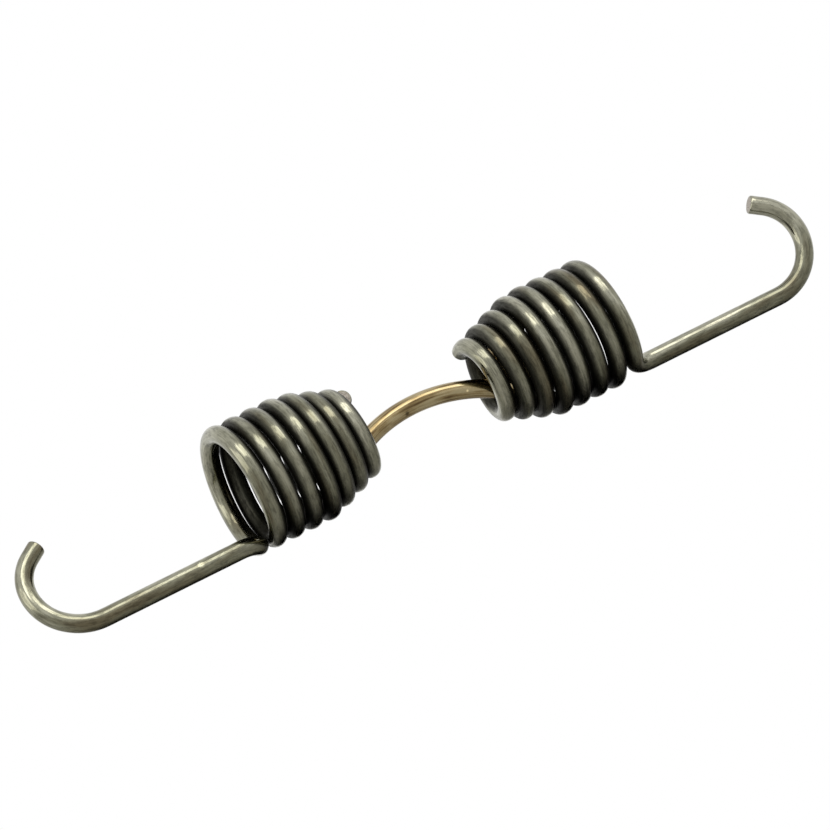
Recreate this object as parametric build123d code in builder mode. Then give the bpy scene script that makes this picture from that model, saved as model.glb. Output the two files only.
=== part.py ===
from build123d import *
import math
import os

# Double extension spring for a drum brake: two equal springs and the link that joins their coned ends.
# Millimetres. X runs along the coils, the hooks open upwards (+Z), and the part lies on z = 0.

# Spring wire and coil
SPRING_WIRE = 5.4
COIL_RADIUS = 16.8
COIL_PITCH = 5.9
PARALLEL_TURNS = 3.97
CONED_TURNS = 3.56
CONE_PITCH = 5.38
SMALL_RADIUS = 10.25
KNEE_TURNS = 0.35
LEAD_EXTRA = -0.35
LEAD_TURNS = 0.5

# Bend, straight run and hook
BEND_RADIUS = 7.2
STRAIGHT_LENGTH = 43.0
HOOK_RADII = (16.1, 14.5, 12.9)
HOOK_STEP_DEG = 48.9
HOOK_TIP = 4.2
HOOK_LEAN_DEG = 6.0
CUT_CHAMFER = 0.4

# Link
LINK_WIRE = 5.5
SPRING_GAP = 41.2
BOW_RADIUS = 50.0
BOW_RISE = 1.0
BOW_END_DEG = 26.0
EYE_RADIUS = 7.3
EYE_CLEARANCE = 0.65
EYE_START_DEG = 90.0
EYE_END_DEG = 325.0
SHANK_PULL = (1.7, 1.7)

# How far the link lies turned from the springs' direction, seen from above
LINK_YAW_DEG = 8.0

# Values that follow from the ones above
WIRE_HALF = SPRING_WIRE / 2
AXIS_HEIGHT = COIL_RADIUS + WIRE_HALF
TURNS = PARALLEL_TURNS + CONED_TURNS
PITCH_ANGLE = math.atan2(COIL_PITCH, 2 * math.pi * COIL_RADIUS)
BEND_ANGLE = math.pi / 2 - PITCH_ANGLE
BEND_LENGTH = BEND_RADIUS * math.sin(BEND_ANGLE)
BEND_RUN = BEND_RADIUS * (1 - math.cos(BEND_ANGLE))
CONE_SLOPE = (COIL_RADIUS - SMALL_RADIUS) / (CONED_TURNS - KNEE_TURNS / 2)


def coil_radius(turn):
    """Centre line radius after so many turns from the bend; the cone starts with a soft knee."""
    over = max(turn - PARALLEL_TURNS, 0.0)
    if over < KNEE_TURNS:
        return COIL_RADIUS - CONE_SLOPE * over * over / (2 * KNEE_TURNS)
    return COIL_RADIUS - CONE_SLOPE * (over - KNEE_TURNS / 2)


def coil_advance(turn):
    """Distance along the axis after so many turns."""
    plain = COIL_PITCH * min(turn, PARALLEL_TURNS) + CONE_PITCH * max(turn - PARALLEL_TURNS, 0.0)
    lead = min(turn / LEAD_TURNS, 1.0)
    return plain + LEAD_EXTRA * lead * lead * (3 - 2 * lead)


# The eye sits where the cone's wire clears it by EYE_CLEARANCE.
CONE_RISE = CONE_SLOPE / CONE_PITCH
SEAT_RADIUS = EYE_RADIUS + (WIRE_HALF + LINK_WIRE / 2 + EYE_CLEARANCE) / math.cos(math.atan(CONE_RISE))
EYE_DEPTH = (SEAT_RADIUS - SMALL_RADIUS) / CONE_RISE
EYE_REACH = SPRING_GAP / 2 + EYE_DEPTH
LINK_YAW = math.radians(LINK_YAW_DEG)
EYE_X = EYE_REACH * math.cos(LINK_YAW)
SIDE_STEP = EYE_REACH * math.sin(LINK_YAW)

COIL_LENGTH = coil_advance(TURNS)
COIL_START_X = EYE_DEPTH - EYE_X - COIL_LENGTH
BEND_TURN = BEND_RUN / (2 * math.pi * COIL_RADIUS)
BEND_START_X = COIL_START_X + coil_advance(BEND_TURN) - BEND_LENGTH
STRAIGHT_START_X = BEND_START_X - STRAIGHT_LENGTH


def around_axis(x, radius, angle):
    """Point at an angle round the coil axis, counted from the bottom towards +Y."""
    return Vector(x, radius * math.sin(angle), AXIS_HEIGHT - radius * math.cos(angle))


def bend_point(share):
    """Point on the bend, which wraps round the coil's own cylinder."""
    angle = BEND_ANGLE * share
    x = BEND_START_X + BEND_RADIUS * math.sin(angle)
    run = BEND_RADIUS * (1 - math.cos(angle))
    return around_axis(x, COIL_RADIUS, run / COIL_RADIUS)


def coil_point(turn):
    """Point on the coil's centre line."""
    return around_axis(COIL_START_X + coil_advance(turn), coil_radius(turn), 2 * math.pi * turn)


# Points that the smooth line through the bend and the coil is drawn on
POINTS_PER_TURN = 10
coil_count = round((TURNS - BEND_TURN) * POINTS_PER_TURN)
coil_turns = [BEND_TURN + (TURNS - BEND_TURN) * k / coil_count for k in range(coil_count + 1)]
curve_points = [bend_point(share) for share in (0.0, 0.33, 0.67)]
curve_points += [coil_point(turn) for turn in coil_turns]
end_tangent = (coil_point(TURNS) - coil_point(TURNS - 0.001)).normalized()

with BuildPart() as spring_wire:
    with BuildLine() as wire_line:
        run = Line((STRAIGHT_START_X, 0, WIRE_HALF), (BEND_START_X, 0, WIRE_HALF))
        Spline(*curve_points, tangents=[(1, 0, 0), end_tangent], tangent_scalars=(1, 1))
        place = run @ 0
        heading = math.pi
        for hook_radius in HOOK_RADII:
            turned = math.radians(HOOK_STEP_DEG)
            centre = place + Vector(-math.sin(heading), 0, math.cos(heading)) * -hook_radius
            middle_angle = heading - turned / 2
            end_angle = heading - turned
            middle = centre + Vector(-math.sin(middle_angle), 0, math.cos(middle_angle)) * hook_radius
            end = centre + Vector(-math.sin(end_angle), 0, math.cos(end_angle)) * hook_radius
            ThreePointArc(place, middle, end)
            place = end
            heading = end_angle
        tip = place + Vector(math.cos(heading), 0, math.sin(heading)) * HOOK_TIP
        Line(place, tip)
    with BuildSketch(Plane(origin=tip, z_dir=place - tip)) as section:
        Circle(WIRE_HALF)
    sweep(path=wire_line.wires()[0], is_frenet=True)
    cut_faces = spring_wire.faces().filter_by(GeomType.PLANE)
    chamfer(cut_faces.edges(), CUT_CHAMFER)

# Each spring lies rolled a little about its coil, towards its heavier side, with its coil beside the X axis.
coil_axis = Axis((0, 0, AXIS_HEIGHT), (1, 0, 0))
rolled_spring = spring_wire.part.rotate(coil_axis, -HOOK_LEAN_DEG)

with BuildPart() as left_spring:
    add(rolled_spring.moved(Location((0, -SIDE_STEP, 0))))
left_spring.part.label = "left_spring"

with BuildPart() as right_spring:
    add(left_spring.part.rotate(Axis.Z, 180))
right_spring.part.label = "right_spring"


def eye_point(angle_deg, side):
    """Point on one eye's centre line; side is 1 on the right and -1 on the left."""
    angle = math.radians(angle_deg)
    point = around_axis(EYE_REACH, EYE_RADIUS, angle)
    return Vector(side * point.X, side * point.Y, point.Z)


def bow_point(angle_deg):
    """Point on the link's bow, at an angle from its top."""
    angle = math.radians(angle_deg)
    drop = BOW_RADIUS * (1 - math.cos(angle))
    return Vector(BOW_RADIUS * math.sin(angle), 0, AXIS_HEIGHT + BOW_RISE - drop)


with BuildPart() as straight_link:
    with BuildLine() as link_line:
        ThreePointArc(bow_point(-BOW_END_DEG), bow_point(0), bow_point(BOW_END_DEG))
        for side in (1, -1):
            shank_end = bow_point(side * BOW_END_DEG)
            slope = math.radians(BOW_END_DEG)
            shank_heading = Vector(side * math.cos(slope), 0, -math.sin(slope))
            start = math.radians(EYE_START_DEG)
            eye_heading = Vector(0, side * math.cos(start), math.sin(start))
            eye_start = eye_point(EYE_START_DEG, side)
            Spline(shank_end, eye_start, tangents=[shank_heading, eye_heading], tangent_scalars=SHANK_PULL)
            middle_deg = (EYE_START_DEG + EYE_END_DEG) / 2
            ThreePointArc(
                eye_start,
                eye_point(middle_deg, side),
                eye_point(EYE_END_DEG, side),
            )
    link_wire = link_line.wires()[0]
    with BuildSketch(Plane(origin=link_wire @ 0, z_dir=link_wire % 0)) as link_section:
        Circle(LINK_WIRE / 2)
    sweep(path=link_wire)
    link_cuts = straight_link.faces().filter_by(GeomType.PLANE)
    chamfer(link_cuts.edges(), CUT_CHAMFER)

with BuildPart() as centre_link:
    add(straight_link.part.rotate(Axis.Z, LINK_YAW_DEG))
centre_link.part.label = "centre_link"

os.makedirs("parts", exist_ok=True)
export_step(left_spring.part, "parts/left_spring.step")
export_step(right_spring.part, "parts/right_spring.step")
export_step(centre_link.part, "parts/centre_link.step")

for made in (left_spring, right_spring, centre_link):
    box = made.part.bounding_box()
    print(made.part.label, "volume", round(made.part.volume, 1), "solids", len(made.part.solids()))
    print("  size", [round(value, 2) for value in box.size], "valid", made.part.is_valid)
print("length", round(2 * -left_spring.part.bounding_box().min.X, 2), "eye at x", round(EYE_X, 2))
print("coil axes", round(SIDE_STEP, 3), "beside the X axis and", round(AXIS_HEIGHT, 3), "above the floor")
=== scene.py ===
# %% [markdown]
# # A double brake spring, dressed for its portrait
# Three wires make this object: two equal steel springs, each with a coned coil, a straight run and an
# open hook, and a golden link whose eyes sit inside the two cones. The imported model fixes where
# everything is. This script remakes each wire as a fine mesh on the same centre line, gives it a drawn
# and oiled finish, and lights it.

# %% Load the frame
import math

import bmesh
import bpy
from mathutils import Matrix, Vector, noise


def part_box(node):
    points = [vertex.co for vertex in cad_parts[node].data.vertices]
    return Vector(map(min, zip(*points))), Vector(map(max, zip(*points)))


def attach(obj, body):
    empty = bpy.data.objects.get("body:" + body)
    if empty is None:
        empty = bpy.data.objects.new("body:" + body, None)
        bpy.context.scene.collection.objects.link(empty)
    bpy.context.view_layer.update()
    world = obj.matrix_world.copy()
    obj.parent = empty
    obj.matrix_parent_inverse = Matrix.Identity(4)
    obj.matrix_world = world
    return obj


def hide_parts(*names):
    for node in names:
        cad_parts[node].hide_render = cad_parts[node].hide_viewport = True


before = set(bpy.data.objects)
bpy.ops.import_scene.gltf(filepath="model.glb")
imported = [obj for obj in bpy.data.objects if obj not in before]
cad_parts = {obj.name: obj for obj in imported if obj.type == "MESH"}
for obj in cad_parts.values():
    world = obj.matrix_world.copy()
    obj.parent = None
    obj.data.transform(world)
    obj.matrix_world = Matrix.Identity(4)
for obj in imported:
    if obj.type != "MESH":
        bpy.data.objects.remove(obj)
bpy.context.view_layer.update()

# %% [markdown]
# ## The sizes that shape the wires
# Every centre line below follows from these few lengths in millimetres, which are the model's own. The
# meshes are made in metres, and one factor turns the one into the other.

# %% Driving sizes
MM = 0.001
SPRING_WIRE = 5.4
COIL_RADIUS = 16.8
COIL_PITCH = 5.9
PARALLEL_TURNS = 3.97
CONED_TURNS = 3.56
CONE_PITCH = 5.38
SMALL_RADIUS = 10.25
KNEE_TURNS = 0.35
LEAD_EXTRA = -0.35
LEAD_TURNS = 0.5
BEND_RADIUS = 7.2
STRAIGHT_LENGTH = 43.0
HOOK_RADII = (16.1, 14.5, 12.9)
HOOK_STEP_DEG = 48.9
HOOK_TIP = 4.2
HOOK_LEAN_DEG = 6.0
LINK_WIRE = 5.5
SPRING_GAP = 41.2
BOW_RADIUS = 50.0
BOW_RISE = 1.0
BOW_END_DEG = 26.0
EYE_RADIUS = 7.3
EYE_CLEARANCE = 0.65
EYE_START_DEG = 90.0
EYE_END_DEG = 325.0
SHANK_PULL = 1.7
LINK_YAW_DEG = 8.0

wire_half = SPRING_WIRE / 2
axis_height = COIL_RADIUS + wire_half
turns = PARALLEL_TURNS + CONED_TURNS
cone_slope = (COIL_RADIUS - SMALL_RADIUS) / (CONED_TURNS - KNEE_TURNS / 2)
cone_rise = cone_slope / CONE_PITCH
seat_radius = EYE_RADIUS + (wire_half + LINK_WIRE / 2 + EYE_CLEARANCE) / math.cos(math.atan(cone_rise))
eye_depth = (seat_radius - SMALL_RADIUS) / cone_rise
eye_reach = SPRING_GAP / 2 + eye_depth
eye_x = eye_reach * math.cos(math.radians(LINK_YAW_DEG))
side_step = eye_reach * math.sin(math.radians(LINK_YAW_DEG))
print("coil axis", axis_height, "mm above the floor,", turns, "turns")

# %% [markdown]
# ## The centre line of a spring
# A spring winder feeds the wire straight, bends it, winds it on a mandrel and closes the last turns down
# to a cone. The line is written the same way: a few formulas give the coil, the bend that wraps on the
# coil's own cylinder, the straight run, and a hook of three arcs that tightens towards its tip. A formula
# is better here than a long list of points, because a change of one size moves everything with it.


# %% Points on the coil and its bend
def around_axis(x, radius, angle):
    """Point at an angle round the coil axis, counted from the bottom towards +Y."""
    return Vector((x, radius * math.sin(angle), axis_height - radius * math.cos(angle)))


def coil_radius(turn):
    """Centre line radius after so many turns from the bend."""
    over = max(turn - PARALLEL_TURNS, 0.0)
    if over < KNEE_TURNS:
        return COIL_RADIUS - cone_slope * over * over / (2 * KNEE_TURNS)
    return COIL_RADIUS - cone_slope * (over - KNEE_TURNS / 2)


def coil_advance(turn):
    """Distance along the axis after so many turns."""
    plain = COIL_PITCH * min(turn, PARALLEL_TURNS) + CONE_PITCH * max(turn - PARALLEL_TURNS, 0.0)
    lead = min(turn / LEAD_TURNS, 1.0)
    return plain + LEAD_EXTRA * lead * lead * (3 - 2 * lead)


pitch_angle = math.atan2(COIL_PITCH, 2 * math.pi * COIL_RADIUS)
bend_angle = math.pi / 2 - pitch_angle
bend_turn = BEND_RADIUS * (1 - math.cos(bend_angle)) / (2 * math.pi * COIL_RADIUS)
coil_start_x = eye_depth - eye_x - coil_advance(turns)
bend_start_x = coil_start_x + coil_advance(bend_turn) - BEND_RADIUS * math.sin(bend_angle)
straight_start_x = bend_start_x - STRAIGHT_LENGTH


def bend_point(share):
    """Point on the bend between the straight run and the coil."""
    angle = bend_angle * share
    run = BEND_RADIUS * (1 - math.cos(angle))
    return around_axis(bend_start_x + BEND_RADIUS * math.sin(angle), COIL_RADIUS, run / COIL_RADIUS)


def coil_point(turn):
    """Point on the coil."""
    return around_axis(coil_start_x + coil_advance(turn), coil_radius(turn), 2 * math.pi * turn)


print("coil starts at x", round(coil_start_x, 2), "straight run starts at x", round(straight_start_x, 2))

# %% Points from the hook's tip to the cut end of the cone
ARC_STEPS = 14
TIP_SHARES = (0.6, 1.0)
STRAIGHT_STEPS = 14
BEND_STEPS = 16
COIL_STEPS = 640


def hook_line():
    """Points from the straight run's outer end round the hook to its tip."""
    place = Vector((straight_start_x, 0, wire_half))
    heading = math.pi
    points = [place]
    for radius in HOOK_RADII:
        centre = place + Vector((math.sin(heading), 0, -math.cos(heading))) * radius
        for step in range(1, ARC_STEPS + 1):
            turned = heading - math.radians(HOOK_STEP_DEG) * step / ARC_STEPS
            points.append(centre + Vector((-math.sin(turned), 0, math.cos(turned))) * radius)
        place = points[-1]
        heading -= math.radians(HOOK_STEP_DEG)
    ahead = Vector((math.cos(heading), 0, math.sin(heading)))
    return points + [place + ahead * HOOK_TIP * share for share in TIP_SHARES]


def spring_line():
    """Points of a whole spring."""
    line = hook_line()[::-1]
    straight_start = line[-1]
    for step in range(1, STRAIGHT_STEPS + 1):
        line.append(straight_start + Vector((STRAIGHT_LENGTH * step / STRAIGHT_STEPS, 0, 0)))
    line += [bend_point(step / BEND_STEPS) for step in range(1, BEND_STEPS)]
    coil_part = turns - bend_turn
    line += [coil_point(bend_turn + coil_part * step / COIL_STEPS) for step in range(COIL_STEPS + 1)]
    return line


spring_points = spring_line()
spring_length = sum((after - point).length for point, after in zip(spring_points, spring_points[1:]))
print("spring line", len(spring_points), "points,", round(spring_length, 1), "mm of wire")

# %% [markdown]
# ## The centre line of the link
# The link is one bowed wire. Each end turns down into a round eye that is larger than the cone's mouth,
# so the spring can't slip off it. A smooth curve joins the bow to the eye. It is a Hermite curve, the
# cubic that leaves one point in a given direction and reaches another in a given direction, which is how
# such a shank is drawn.

# %% Points on the link
BOW_STEPS = 16
SHANK_STEPS = 18
EYE_STEPS = 44


def hermite(start, leaving, end, arriving, share):
    """Point on the cubic that leaves start along one vector and reaches end along another."""
    square, cube = share ** 2, share ** 3
    from_start = start * (2 * cube - 3 * square + 1) + leaving * (cube - 2 * square + share)
    return from_start + end * (3 * square - 2 * cube) + arriving * (cube - square)


def bow_point(angle):
    """Point on the bow at an angle from its top."""
    drop = BOW_RADIUS * (1 - math.cos(angle))
    return Vector((BOW_RADIUS * math.sin(angle), 0, axis_height + BOW_RISE - drop))


def half_link():
    """Points from the top of the bow to the end of the right-hand eye."""
    slope = math.radians(BOW_END_DEG)
    start = math.radians(EYE_START_DEG)
    line = [bow_point(slope * step / BOW_STEPS) for step in range(BOW_STEPS + 1)]
    shank_start, shank_end = line[-1], around_axis(eye_reach, EYE_RADIUS, start)
    pull = SHANK_PULL * (shank_end - shank_start).length
    leaving = Vector((math.cos(slope), 0, -math.sin(slope))) * pull
    arriving = Vector((0, math.cos(start), math.sin(start))) * pull
    for step in range(1, SHANK_STEPS):
        line.append(hermite(shank_start, leaving, shank_end, arriving, step / SHANK_STEPS))
    eye_turn = math.radians(EYE_END_DEG) - start
    for step in range(EYE_STEPS + 1):
        line.append(around_axis(eye_reach, EYE_RADIUS, start + eye_turn * step / EYE_STEPS))
    return line


right_half = half_link()
left_half = [Vector((-point.x, -point.y, point.z)) for point in right_half]
link_points = left_half[:0:-1] + right_half
print("link line", len(link_points), "points, eyes", round(eye_reach, 2), "mm from the middle")

# %% [markdown]
# ## A wire from a circle
# Blender can bevel a curve into a tube, but a mesh can carry more: each vertex remembers how far along
# the wire it is and on which side, so a finish can follow the drawing direction round every turn. One
# circle is made, then extruded from station to station and turned to follow the line. The frame at each
# station is carried along without twisting, as a real wire is.

# %% Extrude a circle along a line
RING_SIDES = 36
LINK_ALONG_START = 2.0


def stations(points):
    """A matrix for each point, its Z along the wire and its X carried along without twisting."""
    places = []
    side = (points[1] - points[0]).orthogonal().normalized()
    for number, point in enumerate(points):
        before = points[max(number - 1, 0)]
        after = points[min(number + 1, len(points) - 1)]
        ahead = (after - before).normalized()
        side = (side - ahead * side.dot(ahead)).normalized()
        turn = Matrix((side, ahead.cross(side), ahead)).transposed().to_4x4()
        places.append(Matrix.Translation(point * MM) @ turn)
    return places


def lay_wire(points, wire_radius, along_start):
    """An open tube along the points, with each vertex's place on the wire, and its two end rings."""
    shape = bmesh.new()
    on_wire = shape.verts.layers.float_vector.new("on_wire")
    places = stations(points)
    ring = bmesh.ops.create_circle(shape, segments=RING_SIDES, radius=wire_radius * MM)["verts"]
    bmesh.ops.transform(shape, matrix=places[0], verts=ring)
    edges = list(shape.edges)
    end_rings = [edges]
    along = along_start
    for number, place in enumerate(places):
        if number:
            before = places[number - 1]
            along += (place.translation - before.translation).length
            grown = bmesh.ops.extrude_edge_only(shape, edges=edges)["geom"]
            ring = [item for item in grown if isinstance(item, bmesh.types.BMVert)]
            in_ring = set(ring)
            grown_edges = [item for item in grown if isinstance(item, bmesh.types.BMEdge)]
            edges = [edge for edge in grown_edges if in_ring.issuperset(edge.verts)]
            bmesh.ops.transform(shape, matrix=place @ before.inverted(), verts=ring)
        to_ring = place.inverted()
        for vert in ring:
            local = to_ring @ vert.co
            vert[on_wire] = (local.x, local.y, along)
    end_rings.append(edges)
    return shape, end_rings


spring_shape, spring_ends = lay_wire(spring_points, wire_half, along_start=0.0)
link_shape, link_ends = lay_wire(link_points, LINK_WIRE / 2, along_start=LINK_ALONG_START)
print("tube vertices", len(spring_shape.verts), "on a spring,", len(link_shape.verts), "on the link")

# %% [markdown]
# ## Cut ends
# Spring wire is sheared, not sawn. The blade rolls one edge over, leaves the face a few degrees off
# square and tears its middle. Here the end ring is capped, leaned a little, bevelled and inset a few
# times, and the points inside are nudged by a noise. A bump in the material alone would leave the outline
# of the tip perfect, which no cut wire has.

# %% Cap, lean, bevel and tear an end
CUT_LEAN_DEG = 5.0
CUT_BEVEL = 0.45
CUT_INSETS = 4
CUT_INSET_STEP = 0.45
CUT_TEAR = 0.16
CUT_TEAR_SIZE = 1.1
CUT_FACE_SLOT = 1
SPRING_HINGES_DEG = (20, 140)
LINK_HINGES_DEG = (60, 200)


def cut_end(shape, ring_edges, hinge_deg):
    """Closes one end of a wire with a sheared face and returns how many faces it has."""
    cap = bmesh.ops.contextual_create(shape, geom=ring_edges)["faces"][0]
    cap.normal_update()
    outward, middle = cap.normal.copy(), cap.calc_center_median()
    hinge = Matrix.Rotation(math.radians(hinge_deg), 3, outward) @ outward.orthogonal()
    lean = Matrix.Rotation(math.radians(CUT_LEAN_DEG), 4, hinge)
    bmesh.ops.transform(shape, matrix=lean, space=Matrix.Translation(-middle), verts=list(cap.verts))
    rim = list(cap.edges)
    bmesh.ops.bevel(shape, geom=rim, offset=CUT_BEVEL * MM, offset_type="OFFSET", affect="EDGES", segments=3,
                    profile=0.5, material=-1, clamp_overlap=True)
    cap = max(shape.faces, key=lambda face: len(face.verts))
    cut_faces = []
    for _ in range(CUT_INSETS):
        inset = bmesh.ops.inset_region(shape, faces=[cap], thickness=CUT_INSET_STEP * MM,
                                       use_even_offset=True)
        cut_faces += inset["faces"]
    cut_faces += bmesh.ops.poke(shape, faces=[cap])["faces"]
    for vert in {vert for face in cut_faces for vert in face.verts}:
        outer = min((vert.co - middle).length / (wire_half * MM), 1.0)
        tear = noise.noise(vert.co / (CUT_TEAR_SIZE * MM)) * CUT_TEAR * MM * (1 - outer * outer)
        vert.co += outward * tear
    for face in cut_faces:
        face.material_index = CUT_FACE_SLOT
    return len(cut_faces)


for hinge_deg, ring_edges in zip(SPRING_HINGES_DEG, spring_ends):
    print("faces on a spring's cut", cut_end(spring_shape, ring_edges, hinge_deg))
for hinge_deg, ring_edges in zip(LINK_HINGES_DEG, link_ends):
    print("faces on the link's cut", cut_end(link_shape, ring_edges, hinge_deg))

# %% [markdown]
# ## Oil, dust and painted shade between the turns
# Between two turns of a close coil a cloth never reaches, so oil and dust stay there and the metal looks
# duller and darker. The colour there is made nearly black. That is partly the dirt and partly painted
# shade, as shade falls between the turns and inside the coil, apart from its first ring. The finish needs
# to know those places. Each vertex gets a number for them: 1 where the surface faces the next turn, a
# little less where it faces the coil's axis, 0 elsewhere. It is worked out from the direction that the
# surface faces and the turn it is on.

# %% Mark the grooves of the coil
GROOVE_FACING = (0.15, 0.75)
INSIDE_FACING = (0.1, 0.7)
INSIDE_TURNS = (0.4, 1.2)
INSIDE_SHARE = 0.8
TURN_START = (-0.3, 0.1)
TURN_END = (-0.1, 0.1)


def ramp(value, low, high):
    """0 below low, 1 above high, and smooth in between."""
    share = min(max((value - low) / (high - low), 0.0), 1.0)
    return share * share * (3 - 2 * share)


def mark_grooves(shape):
    """Writes the layer of oil, dust and painted shade of a coil whose axis runs along X."""
    groove = shape.verts.layers.float.new("groove")
    shape.normal_update()
    for vert in shape.verts:
        middle_x = vert.co.x / MM - vert.normal.x * wire_half
        turn = (middle_x - coil_start_x) / COIL_PITCH
        inwards_neighbour = ramp(turn, *TURN_START) * ramp(turns - 1 - turn, *TURN_END)
        outwards_neighbour = ramp(turn - 1, *TURN_END)
        facing = ramp(vert.normal.x, *GROOVE_FACING) * inwards_neighbour
        facing += ramp(-vert.normal.x, *GROOVE_FACING) * outwards_neighbour
        outwards = Vector((0, vert.co.y, vert.co.z - axis_height * MM)).normalized()
        inside = ramp(-vert.normal.dot(outwards), *INSIDE_FACING) * ramp(turn, *INSIDE_TURNS)
        vert[groove] = min(facing + inside * INSIDE_SHARE, 1.0)
    return sum(vert[groove] > 0.5 for vert in shape.verts)


bmesh.ops.recalc_face_normals(spring_shape, faces=spring_shape.faces)
bmesh.ops.recalc_face_normals(link_shape, faces=link_shape.faces)
link_shape.verts.layers.float.new("groove")
print("vertices in grooves", mark_grooves(spring_shape))

# %% [markdown]
# ## Two springs from one
# The two springs are one part used twice. Each lies rolled a few degrees about its coil, towards its
# heavier side, and the second is the first turned half round. The link lies a little askew, so the coils
# aren't quite in line. Turning the mesh and not the object keeps every object at the origin, so that its
# stains and streaks don't slide when a joint moves it.

# %% Make the three objects
from_axis = Matrix.Translation((0, 0, -axis_height * MM))
lean = Matrix.Rotation(math.radians(-HOOK_LEAN_DEG), 4, "X")
beside = Matrix.Translation((0, -side_step * MM, 0))
yaw = Matrix.Rotation(math.radians(LINK_YAW_DEG), 4, "Z")
half_turn = Matrix.Rotation(math.pi, 4, "Z")
SECOND_SPRING_ALONG = 1.3


def wire_object(shape, name, along_shift=0.0):
    """An object with a smooth mesh of the shape."""
    on_wire = shape.verts.layers.float_vector["on_wire"]
    for vert in shape.verts:
        vert[on_wire] = vert[on_wire] + Vector((0, 0, along_shift))
    mesh = bpy.data.meshes.new(name)
    for face in shape.faces:
        face.smooth = True
    shape.to_mesh(mesh)
    made = bpy.data.objects.new(name, mesh)
    bpy.context.scene.collection.objects.link(made)
    return made


bmesh.ops.transform(spring_shape, matrix=lean, space=from_axis, verts=spring_shape.verts)
bmesh.ops.transform(spring_shape, matrix=beside, verts=spring_shape.verts)
left_wire = wire_object(spring_shape, "left_spring_wire")
bmesh.ops.transform(spring_shape, matrix=half_turn, verts=spring_shape.verts)
right_wire = wire_object(spring_shape, "right_spring_wire", along_shift=SECOND_SPRING_ALONG)
bmesh.ops.transform(link_shape, matrix=yaw, verts=link_shape.verts)
link_wire = wire_object(link_shape, "centre_link_wire")
spring_shape.free()
link_shape.free()
for wire, node in ((left_wire, "left_spring"), (right_wire, "right_spring"), (link_wire, "centre_link")):
    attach(wire, node)
    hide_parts(node)
    low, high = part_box(node)
    ends = [[round(value, 4) for value in corner] for corner in (low, high)]
    triangles = sum(len(face.vertices) - 2 for face in wire.data.polygons)
    print(wire.name, "triangles", triangles, "node box", ends)

# %% [markdown]
# ## Shader maths in plain Python
# A finish is a sum of patterns, and node trees written out link by link are hard to read. A small class
# wraps a socket, so that 1 - mask or streaks * 0.3 adds the Math node by itself. Every other node comes
# from one method.

# %% A socket that can be used in sums


class Signal:
    """A node's output, or a whole tree when it has no socket yet."""

    def __init__(self, tree, socket=None):
        self.tree = tree
        self.socket = socket

    def node(self, kind, settings=None, sockets=None, output=0):
        """Any node: its settings first, then the values or links of its sockets."""
        made = self.tree.nodes.new(kind)
        for name, value in (settings or {}).items():
            if name == "stops":
                for stop, (position, colour) in zip(stops_for(made, len(value)), value):
                    stop.position, stop.color = position, colour
            else:
                setattr(made, name, value)
        for name, value in (sockets or {}).items():
            if isinstance(value, Signal):
                self.tree.links.new(value.socket, made.inputs[name])
            else:
                made.inputs[name].default_value = value
        return Signal(self.tree, made.outputs[output]) if made.outputs else made

    def math(self, operation, first, second):
        return self.node("ShaderNodeMath", {"operation": operation}, {0: first, 1: second})

    def __add__(self, other):
        return self.math("ADD", self, other)

    def __radd__(self, other):
        return self.math("ADD", other, self)

    def __sub__(self, other):
        return self.math("SUBTRACT", self, other)

    def __rsub__(self, other):
        return self.math("SUBTRACT", other, self)

    def __mul__(self, other):
        return self.math("MULTIPLY", self, other)

    def __rmul__(self, other):
        return self.math("MULTIPLY", other, self)


def stops_for(ramp_node, count):
    """The stops of a new colour ramp, as many as are wanted."""
    stops = ramp_node.color_ramp.elements
    while len(stops) < count:
        stops.new(1.0)
    return stops


def new_finish(name):
    """A material with its Principled shader, and a signal that stands for its tree."""
    finish = bpy.data.materials.new(name)
    finish.use_nodes = True
    return finish, Signal(finish.node_tree), finish.node_tree.nodes["Principled BSDF"]


def feed(shader, **values):
    """Puts a number, a colour or a signal on the shader's own sockets."""
    for name, value in values.items():
        socket = shader.inputs[name.replace("_", " ")]
        if isinstance(value, Signal):
            value.tree.links.new(value.socket, socket)
        else:
            socket.default_value = value


print("shader maths ready")

# %% [markdown]
# ## Patterns that follow the wire
# Drawing a wire through a die leaves fine lines along it, and tempering leaves stains that are longer
# than wide. Both follow the wire, so the patterns are laid out on the place that each vertex remembers:
# two numbers round the section and one along it. Stretching the last one turns a plain noise into
# streaks.

# %% Streaks, stains and pits
COILED_FROM = 85.0
COILED_TO = 105.0
SPOT_CORE = 0.3


def wire_place(tree, across, along):
    """The place on the wire, scaled so that a noise has about one feature per unit."""
    place = tree.node("ShaderNodeAttribute", {"attribute_name": "on_wire"}, output="Vector")
    scale = (1 / (across * MM), 1 / (across * MM), 1 / (along * MM))
    return tree.node("ShaderNodeVectorMath", {"operation": "MULTIPLY"}, {0: place, 1: scale})


def pattern(tree, across, along, detail=2.0, roughness=0.5):
    """A soft noise whose features have these sizes in millimetres, about 0 to 1."""
    place = wire_place(tree, across, along)
    sockets = {"Vector": place, "Scale": 1.0, "Detail": detail, "Roughness": roughness}
    return tree.node("ShaderNodeTexNoise", None, sockets)


def between(tree, signal, low, high):
    """The signal's range from low to high stretched over 0 to 1, and held outside it."""
    settings = {"clamp": True, "interpolation_type": "SMOOTHSTEP"}
    return tree.node("ShaderNodeMapRange", settings, {"Value": signal, "From Min": low, "From Max": high})


def shade_of(tree, signal, stops):
    """A colour picked by the signal."""
    opaque_stops = [(position, (*colour, 1.0)) for position, colour in stops]
    return tree.node("ShaderNodeValToRGB", {"stops": opaque_stops}, {0: signal})


def scaled(tree, colour, factor):
    """A colour made darker or lighter."""
    return tree.node("ShaderNodeVectorMath", {"operation": "SCALE"}, {0: colour, "Scale": factor})


def relief(tree, height):
    """A bump from a height in millimetres."""
    sockets = {"Height": height, "Distance": MM, "Strength": 1.0}
    return tree.node("ShaderNodeBump", None, sockets, output="Normal")


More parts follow.
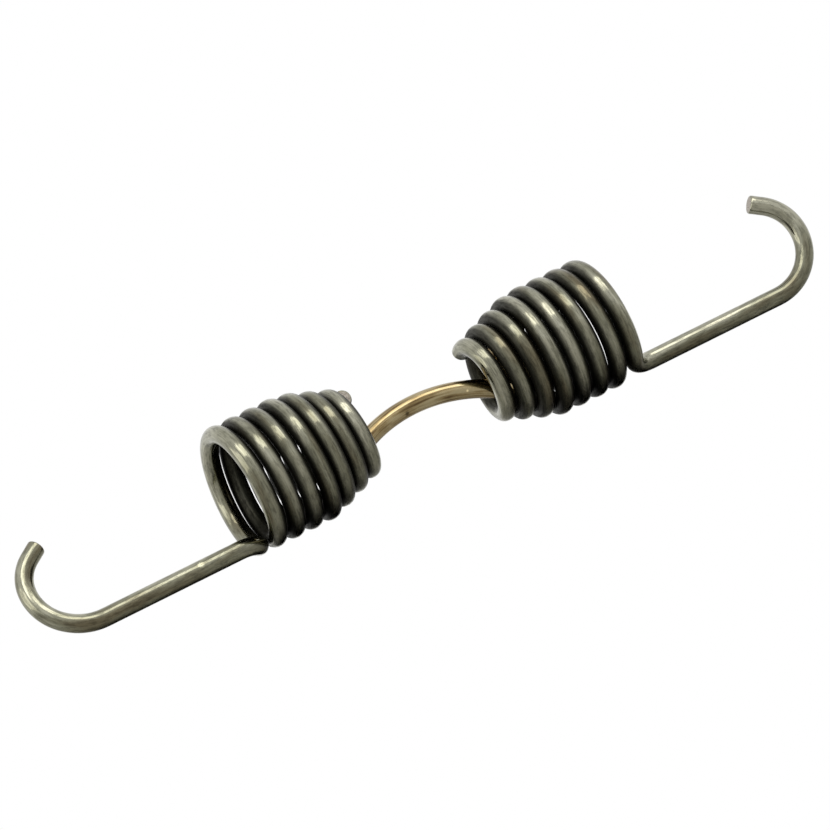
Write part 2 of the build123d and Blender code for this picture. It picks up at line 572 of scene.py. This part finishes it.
def spot(tree, place, reach):
    """1 near a point and 0 further away, both in millimetres."""
    where = tree.node("ShaderNodeTexCoord", output="Object")
    points = {0: where, 1: Vector(place) * MM}
    away = tree.node("ShaderNodeVectorMath", {"operation": "DISTANCE"}, points, output="Value")
    return 1 - between(tree, away, reach * MM * SPOT_CORE, reach * MM)


def coiled_part(tree):
    """0 on the hook and straight run, 1 on the coil."""
    place = tree.node("ShaderNodeAttribute", {"attribute_name": "on_wire"}, output="Vector")
    along = tree.node("ShaderNodeSeparateXYZ", None, {"Vector": place}, output="Z")
    return between(tree, along, COILED_FROM * MM, COILED_TO * MM)


def oil_and_shade_of(tree):
    """How much the surface faces the next turn or the inside of the coil, where oil and dust gather and shade
    is painted.
    """
    return tree.node("ShaderNodeAttribute", {"attribute_name": "groove"}, output="Fac")


print("patterns ready")

# %% [markdown]
# ## Oiled spring steel
# The springs are oil-tempered wire: a thin brown-grey oxide over steel, glossy along the wire and matt in
# small patches. A metallic shader fits, because even the dark places mirror their surroundings. Colour
# comes from slow stains, gloss from drawn streaks and short mottling, and the grooves go dark and dull,
# partly from oil and dust and partly as painted shade. The straight run and the hook carry painted light:
# they are a little lighter than the coil. One bright scuff sits on the left one.

# %% Spring steel
BROWN_OXIDE = (0.125, 0.102, 0.06)
OLIVE_OXIDE = (0.215, 0.212, 0.155)
BRIGHT_OXIDE = (0.43, 0.42, 0.335)
SCUFF_PLACE = (-81.8, -8.6, 3.4)


def spring_steel():
    """The finish of the two springs."""
    finish, tree, shader = new_finish("oiled_spring_steel")
    stains = pattern(tree, across=5.0, along=26.0, detail=3.0)
    streaks = pattern(tree, across=0.5, along=20.0, detail=3.0, roughness=0.6)
    mottle = pattern(tree, across=0.7, along=2.8, detail=5.0, roughness=0.68)
    pits = between(tree, pattern(tree, across=0.35, along=0.5), 0.62, 0.78)
    groove = oil_and_shade_of(tree)
    scuff = spot(tree, SCUFF_PLACE, reach=1.3)
    oxide = shade_of(tree, between(tree, stains, 0.3, 0.7) * 0.75 + streaks * 0.25,
                     ((0.0, BROWN_OXIDE), (0.5, OLIVE_OXIDE), (1.0, BRIGHT_OXIDE)))
    dulled = between(tree, mottle, 0.42, 0.66)
    # Painted light: the straight run and the hook are 15 per cent lighter than the coil. The scuff is wear.
    lightness = 1.15 - coiled_part(tree) * 0.15 + scuff * 1.4
    # The last factor makes the grooves and the inside of the coil nearly black: partly oil and dust, partly
    # painted shade.
    brightness = lightness * (0.7 + streaks * 0.7) * (1 - dulled * 0.4) * (1 - groove * 0.88)
    feed(
        shader,
        Base_Color=scaled(tree, oxide, brightness),
        Metallic=1.0,
        Roughness=0.07 + streaks * 0.08 + dulled * 0.16 + groove * 0.35 + scuff * 0.2,
        Normal=relief(tree, streaks * 0.009 - dulled * 0.003 - pits * 0.004),
    )
    return finish


steel = spring_steel()
print(steel.name, "nodes", len(steel.node_tree.nodes))

# %% [markdown]
# ## Golden link wire
# The link is a plated wire, warmer and cleaner than the springs. Its golden skin has long brown streaks
# where the plating was drawn thin in the bending.

# %% Link wire
GOLD_SKIN = (0.30, 0.225, 0.11)
PALE_SKIN = (0.46, 0.385, 0.23)
WORN_SKIN = (0.13, 0.085, 0.04)
BRIGHT_SPECK = (14.24, -0.33, 17.0)
DARK_NICK = (-5.4, -2.6, 18.1)
CUT_DARK = (0.24, 0.2, 0.16)
CUT_PALE = (0.5, 0.47, 0.42)
GRAINS_PER_METRE = 2500.0


def golden_wire():
    """The finish of the link."""
    finish, tree, shader = new_finish("golden_link_wire")
    stains = pattern(tree, across=3.0, along=9.0, detail=3.0)
    streaks = pattern(tree, across=0.6, along=16.0, detail=3.0, roughness=0.6)
    mottle = pattern(tree, across=0.8, along=1.4, detail=4.0, roughness=0.6)
    lightness = between(tree, streaks * 0.6 + stains * 0.4, 0.38, 0.62)
    skin = shade_of(tree, lightness, ((0.0, WORN_SKIN), (0.45, GOLD_SKIN), (1.0, PALE_SKIN)))
    marks = 1 + spot(tree, BRIGHT_SPECK, reach=0.5) * 1.2 - spot(tree, DARK_NICK, reach=1.0) * 0.65
    feed(
        shader,
        Base_Color=scaled(tree, skin, marks * (0.85 + mottle * 0.3)),
        Metallic=1.0,
        Roughness=0.1 + mottle * 0.12,
        Normal=relief(tree, streaks * 0.006 + mottle * 0.005),
    )
    return finish


def cut_metal():
    """The bare grey of a sheared face."""
    finish, tree, shader = new_finish("sheared_face")
    place = tree.node("ShaderNodeTexCoord", output="Object")
    grain = tree.node("ShaderNodeTexNoise", None, {"Vector": place, "Scale": GRAINS_PER_METRE, "Detail": 3.0})
    colour = shade_of(tree, grain, ((0.3, CUT_DARK), (0.7, CUT_PALE)))
    feed(shader, Base_Color=colour, Metallic=1.0, Roughness=0.45, Normal=relief(tree, grain * 0.05))
    return finish


gold = golden_wire()
bare_cut = cut_metal()
for wire, finish, slot in ((left_wire, steel, "spring_steel"), (right_wire, steel, "spring_steel"),
                           (link_wire, gold, "link_steel")):
    wire.data.materials.append(finish)
    wire.data.materials.append(bare_cut)
print("finishes set on", left_wire.name, right_wire.name, link_wire.name)

# %% [markdown]
# ## Floor and surroundings
# The photograph has a pure white ground, and the fitted camera looks up at the part from just below the
# floor it rests on. So the floor keeps the part's shadow for every view from above, and is clear from
# below for the rays that look: those of the camera, those mirrored by metal and those that pass through
# something clear.

# %% Floor
FLOOR_SIZE = 6.0
FLOOR_WHITE = (0.82, 0.82, 0.81, 1.0)
FLOOR_ROUGHNESS = 0.7


def looking_ray(tree):
    """1 for the rays that look at things: camera, glossy and transmission rays."""
    kinds = ("Is Camera Ray", "Is Glossy Ray", "Is Transmission Ray")
    seen, mirrored, through = [tree.node("ShaderNodeLightPath", output=kind) for kind in kinds]
    return tree.math("MAXIMUM", tree.math("MAXIMUM", seen, mirrored), through)


def pale_floor():
    """A pale matt floor that is clear to looking rays from below."""
    finish, tree, shader = new_finish("pale_floor")
    feed(shader, Base_Color=FLOOR_WHITE, Roughness=FLOOR_ROUGHNESS)
    from_below = tree.node("ShaderNodeNewGeometry", output="Backfacing")
    clear = tree.node("ShaderNodeBsdfTransparent")
    solid = Signal(finish.node_tree, shader.outputs["BSDF"])
    mixed = tree.node("ShaderNodeMixShader", None, {0: from_below * looking_ray(tree), 1: solid, 2: clear})
    surface = finish.node_tree.nodes["Material Output"].inputs["Surface"]
    finish.node_tree.links.new(mixed.socket, surface)
    return finish


floor_shape = bmesh.new()
bmesh.ops.create_grid(floor_shape, x_segments=1, y_segments=1, size=FLOOR_SIZE / 2)
floor_mesh = bpy.data.meshes.new("studio_floor")
floor_shape.to_mesh(floor_mesh)
floor_shape.free()
floor = bpy.data.objects.new("studio_floor", floor_mesh)
floor.data.materials.append(pale_floor())
bpy.context.scene.collection.objects.link(floor)
print("floor", FLOOR_SIZE, "m wide")

# %% [markdown]
# ## Surroundings
# The world is plain. Every ray that looks at it, from the camera or mirrored by the metal, sees the white
# ground of the photograph. It lights the floor at half that strength, so that the floor doesn't burn out
# under the lamps and the part's shadow shows.

# %% Plain white world
FLOOR_LIGHT = 0.5

world = bpy.data.worlds.new("studio")
world.use_nodes = True
bpy.context.scene.world = world
room = Signal(world.node_tree)
sky = world.node_tree.nodes["Background"]
feed(sky, Color=(1.0, 1.0, 1.0, 1.0), Strength=FLOOR_LIGHT + looking_ray(room) * (1 - FLOOR_LIGHT))
print("surroundings set, floor light", FLOOR_LIGHT)

# %% [markdown]
# ## Lamps
# Two softboxes give the cream highlights: a weak one to the left of the part and a little above it, and a
# stronger one high up in front. They are large, so that shadows stay soft, and low enough that the floor
# beside them doesn't clip to white.

# %% Soft lamps
LAMP_DISTANCE = 1.2
COIL_HEIGHT = Vector((0, 0, axis_height * MM))


def towards(azimuth, elevation):
    """The direction at an azimuth from the front, to the right, and an elevation."""
    azimuth, elevation = math.radians(azimuth), math.radians(elevation)
    level = math.cos(elevation)
    return Vector((math.sin(azimuth) * level, -math.cos(azimuth) * level, math.sin(elevation)))


def soft_lamp(name, azimuth, elevation, width, height, brightness, tint):
    """An area lamp aimed at the part, with a brightness that doesn't depend on its size."""
    lamp = bpy.data.lights.new(name, "AREA")
    lamp.shape = "RECTANGLE"
    lamp.size, lamp.size_y = width, height
    lamp.energy = brightness * math.pi * width * height
    lamp.color = tint
    holder = bpy.data.objects.new(name, lamp)
    holder.location = COIL_HEIGHT + towards(azimuth, elevation) * LAMP_DISTANCE
    holder.rotation_euler = (-towards(azimuth, elevation)).to_track_quat("-Z", "Y").to_euler()
    bpy.context.scene.collection.objects.link(holder)
    return holder


soft_lamp("left_softbox", azimuth=-72, elevation=20, width=1.3, height=0.62, brightness=1.1,
          tint=(1.0, 0.97, 0.88))
soft_lamp("high_softbox", azimuth=10, elevation=42, width=1.5, height=0.6, brightness=2.2,
          tint=(1.0, 0.98, 0.92))

# %% [markdown]
# ## Camera
# The camera stands far away and has a long lens, so the two springs look equally large. The numbers come
# from fitting the model's outline to the photographed one: where the camera aims, its direction, its tilt
# and its lens.

# %% Camera at the photographed angle
AIM = Vector((-2.465, 1.25, 17.908)) * MM
DISTANCE = 1.7
AZIMUTH_DEG = -17.267
ELEVATION_DEG = -16.196
ROLL_DEG = -31.237
LENS = 258.27
SENSOR_WIDTH = 36.0

camera_data = bpy.data.cameras.new("photo_view")
camera_data.sensor_width = SENSOR_WIDTH
camera_data.sensor_fit = "HORIZONTAL"
camera_data.lens = LENS
camera = bpy.data.objects.new("photo_view", camera_data)
around = Matrix.Rotation(math.radians(AZIMUTH_DEG), 4, "Z")
up_or_down = Matrix.Rotation(math.pi / 2 - math.radians(ELEVATION_DEG), 4, "X")
roll = Matrix.Rotation(math.radians(ROLL_DEG), 4, "Z")
turned = around @ up_or_down @ roll
camera.matrix_world = Matrix.Translation(AIM + turned.to_3x3() @ Vector((0, 0, DISTANCE))) @ turned
bpy.context.scene.collection.objects.link(camera)
bpy.context.scene.camera = camera
bpy.context.scene.view_settings.view_transform = "Standard"
print("camera at", [round(value, 3) for value in camera.matrix_world.translation])
